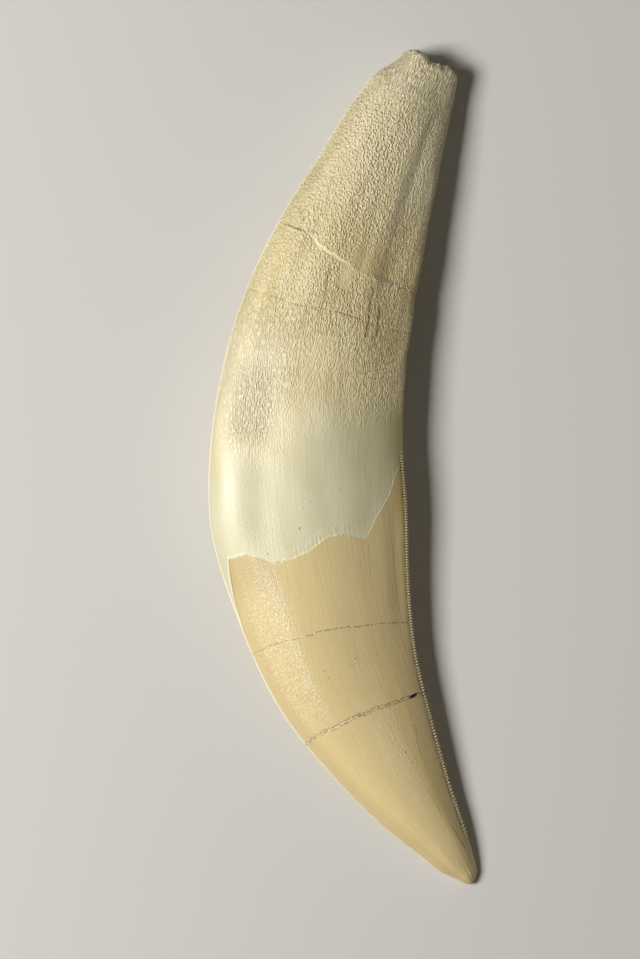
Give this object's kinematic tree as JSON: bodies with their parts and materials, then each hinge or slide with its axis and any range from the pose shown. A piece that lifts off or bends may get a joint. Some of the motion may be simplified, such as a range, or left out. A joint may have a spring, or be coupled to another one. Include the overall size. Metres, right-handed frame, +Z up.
{
  "type": "sabre-toothed cat canine tooth",
  "caption": "Flattened, curved tusk-like canine tooth with a tapering root, a smooth pale neck and a finely serrated tan crown, lying on its flank.",
  "frame": {"origin": "middle of the outline, on the plane that the tooth's flank rests on", "axes": "+Y towards the root end, +X towards the concave edge, +Z up, away from the resting flank"},
  "size_m": [0.05, 0.1548, 0.0151],
  "materials": {
    "ivory": "satin ivory and bone: grainy cream root, smooth pale neck, tan enamel crown"
  },
  "bodies": {
    "root": {"tooth": "ivory"}
  },
  "joints": []
}
